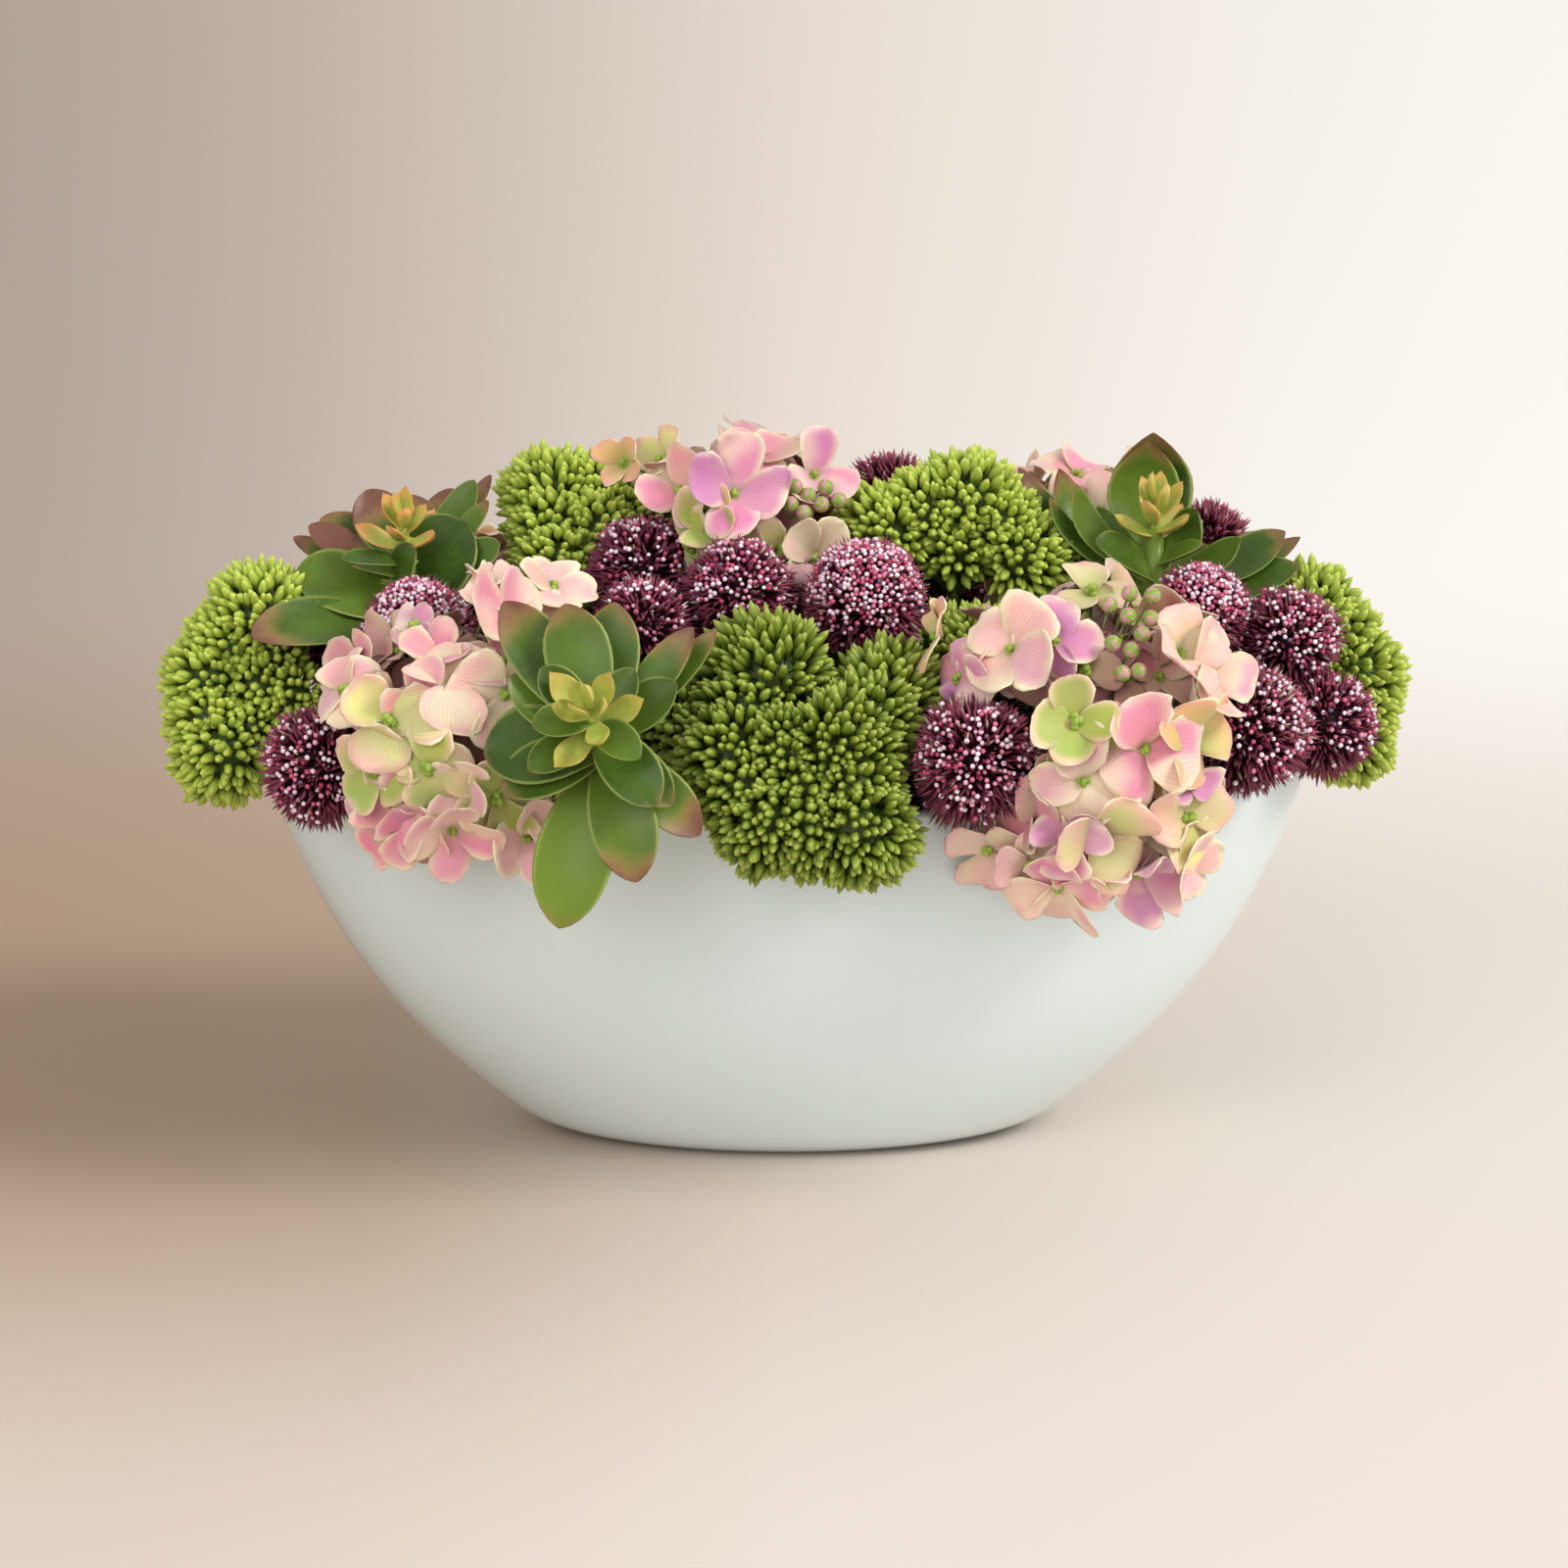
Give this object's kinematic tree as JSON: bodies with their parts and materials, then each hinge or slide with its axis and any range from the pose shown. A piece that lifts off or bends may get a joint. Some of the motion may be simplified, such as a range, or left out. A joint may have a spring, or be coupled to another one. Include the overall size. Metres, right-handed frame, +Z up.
{
  "type": "planter with faux hydrangea and succulents",
  "caption": "Oval white bowl planter filled with an artificial arrangement of pink hydrangea heads, purple allium balls, green sedum clusters and succulent rosettes; table centrepiece",
  "frame": {"origin": "centre of the bowl's flat foot, on the surface that it stands on", "axes": "+X along the bowl's length, to the viewer's right; +Y towards the back; +Z up"},
  "size_m": [0.5744, 0.3355, 0.337],
  "materials": {
    "glazed_white": "gloss",
    "foam_green": "matte",
    "stem_green": "matte",
    "sedum_green": "satin",
    "allium_purple": "matte",
    "petal_pink": "matte",
    "leaf_green": "satin",
    "heart_yellow": "satin"
  },
  "bodies": {
    "root": {"planter_bowl": "glazed_white", "floral_foam": "foam_green", "allium_stem_01": "stem_green", "allium_ball_01": "allium_purple", "allium_stem_02": "stem_green", "allium_ball_02": "allium_purple", "allium_stem_03": "stem_green", "allium_ball_03": "allium_purple", "allium_stem_04": "stem_green", "allium_ball_04": "allium_purple", "allium_stem_05": "stem_green", "allium_ball_05": "allium_purple", "allium_stem_06": "stem_green", "allium_ball_06": "allium_purple", "allium_stem_07": "stem_green", "allium_ball_07": "allium_purple", "allium_stem_08": "stem_green", "allium_ball_08": "allium_purple", "allium_stem_09": "stem_green", "allium_ball_09": "allium_purple", "allium_stem_10": "stem_green", "allium_ball_10": "allium_purple", "allium_stem_11": "stem_green", "allium_ball_11": "allium_purple", "allium_stem_12": "stem_green", "allium_ball_12": "allium_purple", "allium_stem_13": "stem_green", "allium_ball_13": "allium_purple", "allium_stem_14": "stem_green", "allium_ball_14": "allium_purple", "allium_stem_15": "stem_green", "allium_ball_15": "allium_purple", "allium_stem_16": "stem_green", "allium_ball_16": "allium_purple", "hydrangea_stem_front_left": "stem_green", "hydrangea_front_left": "petal_pink", "hydrangea_stem_front_right": "stem_green", "hydrangea_front_right": "petal_pink", "hydrangea_stem_back_middle": "stem_green", "hydrangea_back_middle": "petal_pink", "hydrangea_stem_back_right": "stem_green", "hydrangea_back_right": "petal_pink", "hydrangea_stem_back_left": "stem_green", "hydrangea_back_left": "petal_pink", "sedum_left_end": "sedum_green", "sedum_back_left": "sedum_green", "sedum_front": "sedum_green", "sedum_back_right": "sedum_green", "sedum_right_end": "sedum_green", "sedum_middle": "sedum_green", "sedum_back_centre": "sedum_green", "succulent_front": "leaf_green", "succulent_front_heart": "heart_yellow", "succulent_left": "leaf_green", "succulent_left_heart": "heart_yellow", "succulent_right": "leaf_green", "succulent_right_heart": "heart_yellow"}
  },
  "joints": []
}
